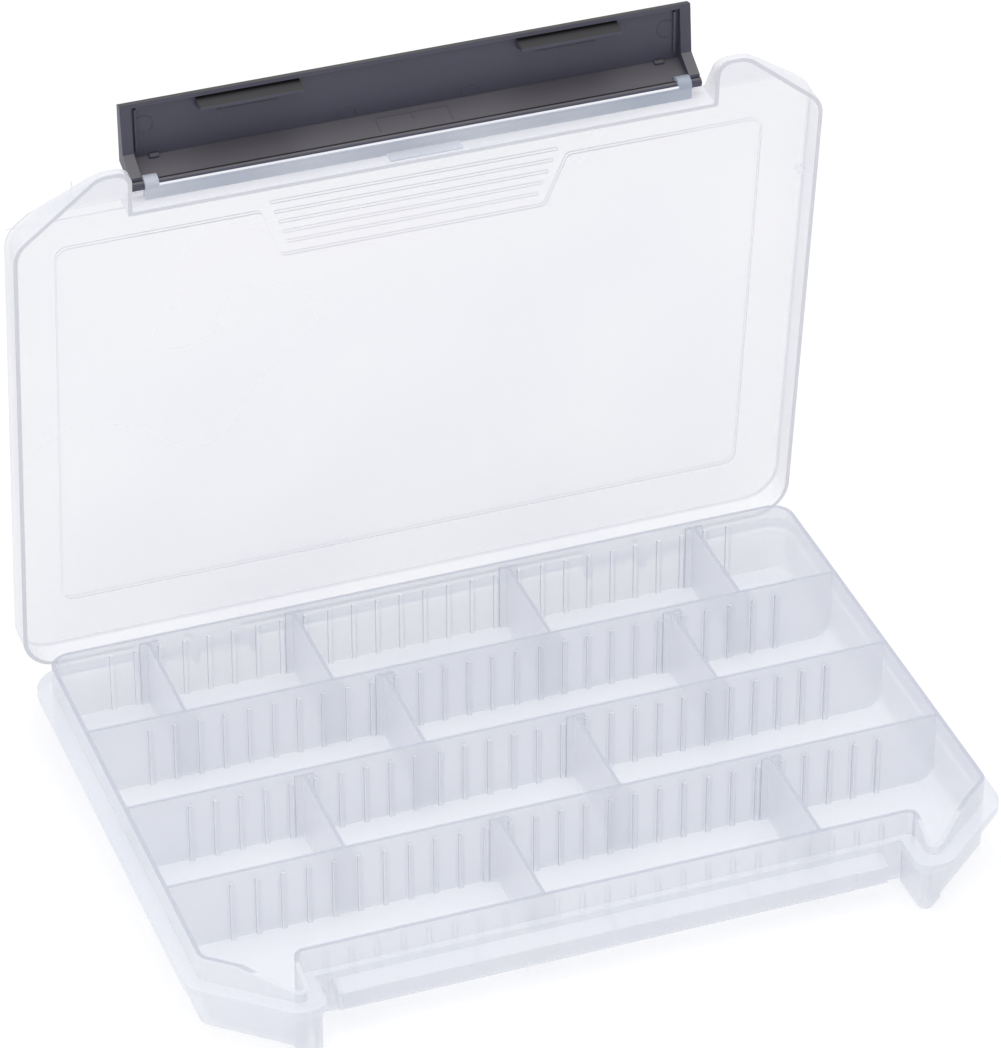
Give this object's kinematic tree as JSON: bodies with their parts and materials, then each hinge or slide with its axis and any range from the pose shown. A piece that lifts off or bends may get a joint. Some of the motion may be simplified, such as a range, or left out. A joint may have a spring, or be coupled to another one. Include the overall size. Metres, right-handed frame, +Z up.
{
  "type": "fishing tackle box",
  "caption": "Flat clear tackle case with row walls, loose dividers that lift out, a hinged lid and a full-width snap latch on the lid's front edge.",
  "frame": {"origin": "middle of the face the tray rests on, midway between the horn tips and the shoulder's back edge", "axes": "+X to the right when facing the latch side, +Y towards the hinges, +Z up"},
  "size_m": [0.255, 0.199, 0.209],
  "materials": {
    "clear_plastic": "satin",
    "latch_plastic": "satin"
  },
  "bodies": {
    "tray": {"tray_shell": "clear_plastic", "row_wall_1": "clear_plastic", "row_wall_2": "clear_plastic", "row_wall_3": "clear_plastic", "hinge_bracket_right": "clear_plastic", "hinge_bracket_left": "clear_plastic", "horn_foot_right": "clear_plastic", "horn_foot_left": "clear_plastic"},
    "lid": {"lid_shell": "clear_plastic", "latch_rail": "clear_plastic"},
    "latch": {"latch_bar": "latch_plastic"},
    "divider_01_body": {"divider_01": "clear_plastic"},
    "divider_02_body": {"divider_02": "clear_plastic"},
    "divider_03_body": {"divider_03": "clear_plastic"},
    "divider_04_body": {"divider_04": "clear_plastic"},
    "divider_05_body": {"divider_05": "clear_plastic"},
    "divider_06_body": {"divider_06": "clear_plastic"},
    "divider_07_body": {"divider_07": "clear_plastic"},
    "divider_08_body": {"divider_08": "clear_plastic"},
    "divider_09_body": {"divider_09": "clear_plastic"},
    "divider_10_body": {"divider_10": "clear_plastic"}
  },
  "joints": [
    {"name": "lid_hinge", "type": "hinge", "parent": "tray", "child": "lid", "pos_m": [0, 0.093, 0.0132], "axis": [-1, 0, 0], "range_deg": [-84, 0]},
    {"name": "latch_hinge", "type": "hinge", "parent": "lid", "child": "latch", "pos_m": [0, 0.08599, 0.18702], "axis": [-1, 0, 0], "range_deg": [-110, 0]},
    {"name": "divider_01_lift", "type": "slide", "parent": "tray", "child": "divider_01_body", "axis": [0, 0, 1], "range_m": [0, 0.03]},
    {"name": "divider_02_lift", "type": "slide", "parent": "tray", "child": "divider_02_body", "axis": [0, 0, 1], "range_m": [0, 0.03]},
    {"name": "divider_03_lift", "type": "slide", "parent": "tray", "child": "divider_03_body", "axis": [0, 0, 1], "range_m": [0, 0.03]},
    {"name": "divider_04_lift", "type": "slide", "parent": "tray", "child": "divider_04_body", "axis": [0, 0, 1], "range_m": [0, 0.03]},
    {"name": "divider_05_lift", "type": "slide", "parent": "tray", "child": "divider_05_body", "axis": [0, 0, 1], "range_m": [0, 0.03]},
    {"name": "divider_06_lift", "type": "slide", "parent": "tray", "child": "divider_06_body", "axis": [0, 0, 1], "range_m": [0, 0.03]},
    {"name": "divider_07_lift", "type": "slide", "parent": "tray", "child": "divider_07_body", "axis": [0, 0, 1], "range_m": [0, 0.03]},
    {"name": "divider_08_lift", "type": "slide", "parent": "tray", "child": "divider_08_body", "axis": [0, 0, 1], "range_m": [0, 0.03]},
    {"name": "divider_09_lift", "type": "slide", "parent": "tray", "child": "divider_09_body", "axis": [0, 0, 1], "range_m": [0, 0.03]},
    {"name": "divider_10_lift", "type": "slide", "parent": "tray", "child": "divider_10_body", "axis": [0, 0, 1], "range_m": [0, 0.03]}
  ]
}
